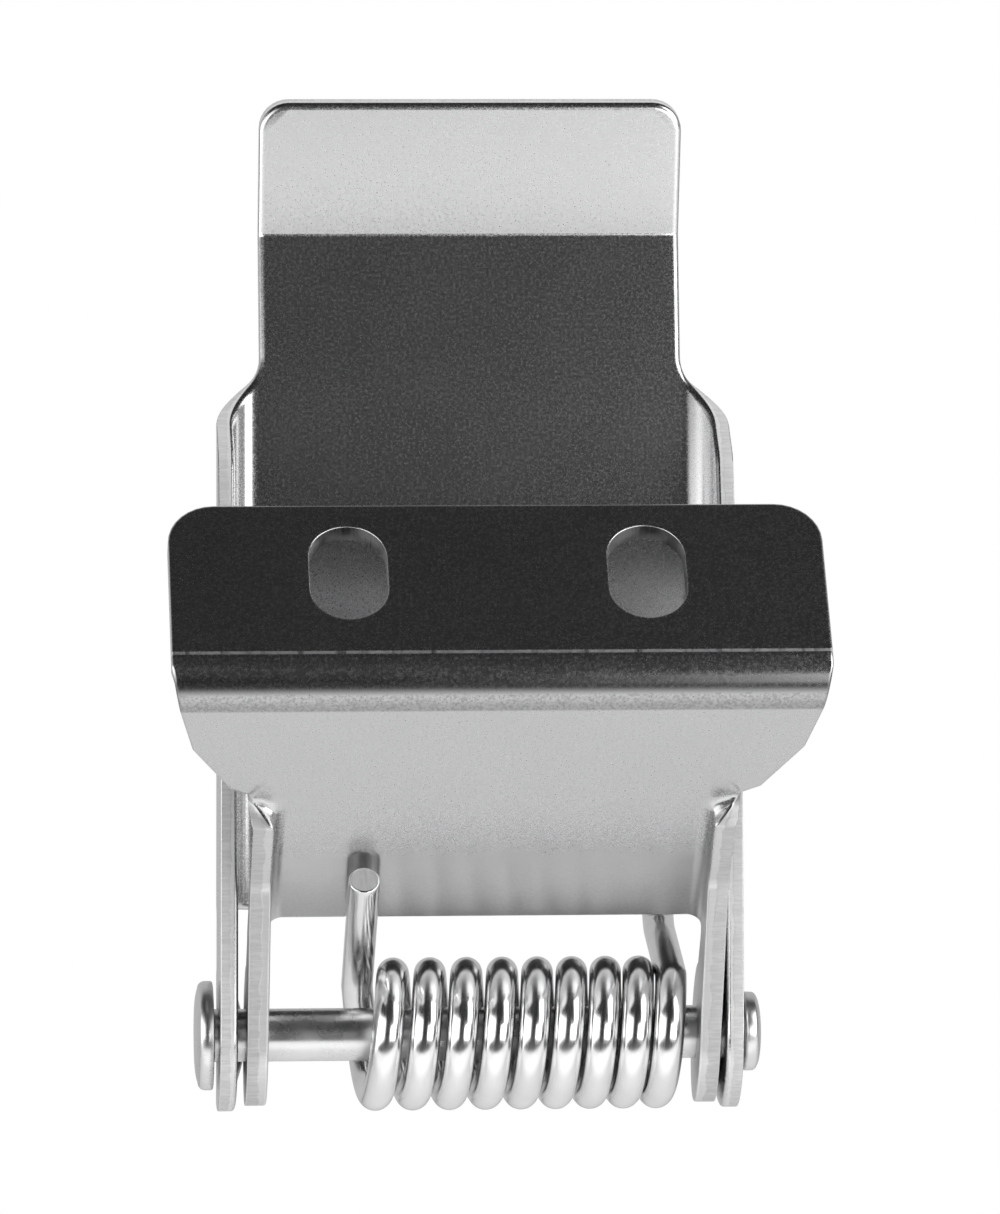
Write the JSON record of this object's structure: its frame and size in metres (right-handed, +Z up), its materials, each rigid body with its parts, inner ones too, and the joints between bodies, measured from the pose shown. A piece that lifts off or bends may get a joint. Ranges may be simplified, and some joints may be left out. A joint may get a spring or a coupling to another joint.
{
  "type": "sprung mounting clip",
  "caption": "Sprung sheet-metal mounting clip: slotted L-bracket with ears, swinging channel leaf with bent tip, hinge rivet and double-leg torsion spring.",
  "frame": {"origin": "middle of the mounting flange's outer face, between its two slots", "axes": "+Z up along the leaf at rest, -Y the side the flange faces, X along the hinge axis"},
  "size_m": [0.0364, 0.0258, 0.0584],
  "materials": {
    "plated_sheet": "zinc-nickel plated, fine rolled grain",
    "plated_wire": "bright plated, polished",
    "plated_pin": "bright plated"
  },
  "bodies": {
    "bracket": {"bracket": "plated_sheet", "hinge_rivet": "plated_pin", "torsion_spring": "plated_wire"},
    "leaf": {"leaf": "plated_sheet"}
  },
  "joints": [
    {"name": "leaf_hinge", "type": "hinge", "parent": "bracket", "child": "leaf", "pos_m": [0, 0.01565, -0.02458], "axis": [-1, 0, 0], "range_deg": [-18, 100], "stiffness_Nm_per_rad": 0.5, "deforming": ["torsion_spring"]}
  ]
}
